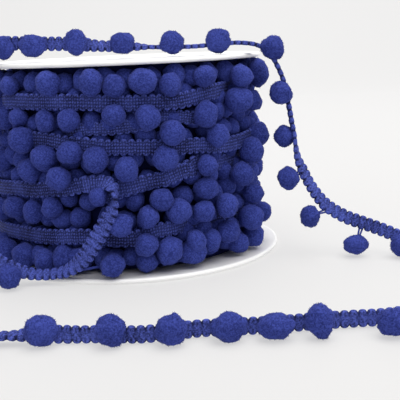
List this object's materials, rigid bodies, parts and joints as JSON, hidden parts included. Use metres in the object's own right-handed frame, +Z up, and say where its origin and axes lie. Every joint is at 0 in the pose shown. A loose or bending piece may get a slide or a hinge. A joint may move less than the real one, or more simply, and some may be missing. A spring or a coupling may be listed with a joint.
{
  "type": "pom pom trim on a reel",
  "caption": "Blue pom pom trim: a narrow scalloped braid with small round pompoms, wound on a white reel, its free end draped over the top and lying in front.",
  "frame": {"origin": "centre of the reel's underside, on the surface that it stands on", "axes": "+Z up along the reel's axis, -Y towards the front, where the free end lies"},
  "size_m": [0.2241, 0.2057, 0.1026],
  "materials": {
    "trim": "napped pompoms and a matt looped braid, royal blue",
    "reel": "smooth white moulded plastic"
  },
  "bodies": {
    "root": {"flange_lower": "reel", "flange_upper": "reel", "winding": "trim", "trim_loose": "trim"}
  },
  "joints": []
}
